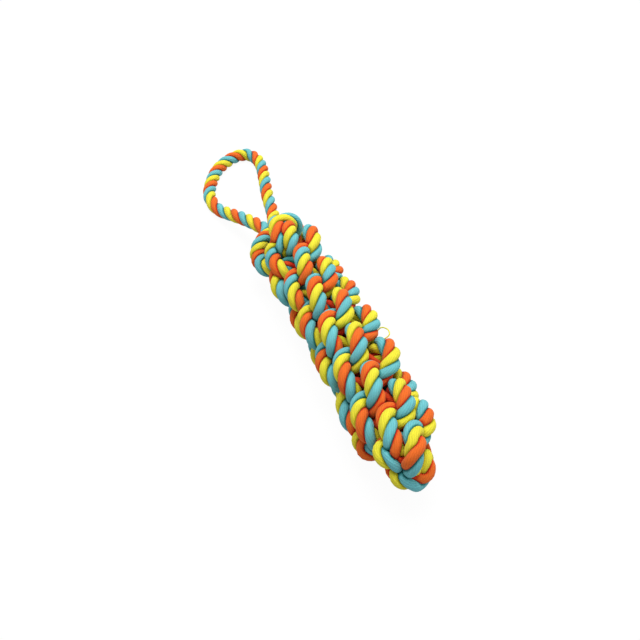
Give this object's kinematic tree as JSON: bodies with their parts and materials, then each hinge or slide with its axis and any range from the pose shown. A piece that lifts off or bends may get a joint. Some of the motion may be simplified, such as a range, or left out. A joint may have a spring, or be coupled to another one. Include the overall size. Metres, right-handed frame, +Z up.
{
  "type": "rope dog toy",
  "caption": "Tug and chew toy of cotton rope: a stout bar of crowned, three-colour laid rope with a loop handle at one end and a closing hairpin of rope at the other.",
  "frame": {"origin": "middle of the toy's box on the floor it lies on", "axes": "+X along the bar from the handle to the closed end, +Y across, +Z up"},
  "size_m": [0.3222, 0.0552, 0.042],
  "materials": {
    "yellow_cotton": "matt twisted cotton yarn, soft and slightly fuzzy",
    "orange_cotton": "matt twisted cotton yarn, soft and slightly fuzzy",
    "turquoise_cotton": "matt twisted cotton yarn, soft and slightly fuzzy"
  },
  "bodies": {
    "woven_bar": {"collar_turn_left": "orange_cotton", "collar_turn_right": "yellow_cotton", "cross_rope_bight": "turquoise_cotton", "woven_end_left_leg": "turquoise_cotton", "woven_end_right_leg": "orange_cotton", "woven_end_cross_front": "orange_cotton", "woven_end_cross_back": "yellow_cotton", "closing_hairpin": "orange_cotton", "tucked_tail_right_leg": "yellow_cotton", "tucked_tail_left_leg": "yellow_cotton", "tucked_tail_cross_back": "turquoise_cotton"},
    "handle_legs": {"handle_leg_left": "yellow_cotton", "handle_leg_right": "turquoise_cotton"},
    "handle_bow": {"handle_bow": "orange_cotton"}
  },
  "joints": [
    {"name": "handle_swing", "type": "hinge", "parent": "woven_bar", "child": "handle_legs", "pos_m": [-0.04663, 0.00596, 0.0206], "axis": [0, 1, 0], "range_deg": [-80, 85]},
    {"name": "handle_fold", "type": "hinge", "parent": "handle_legs", "child": "handle_bow", "pos_m": [-0.10303, 0.00596, 0.00416], "axis": [0, 1, 0], "range_deg": [-70, 75]}
  ]
}
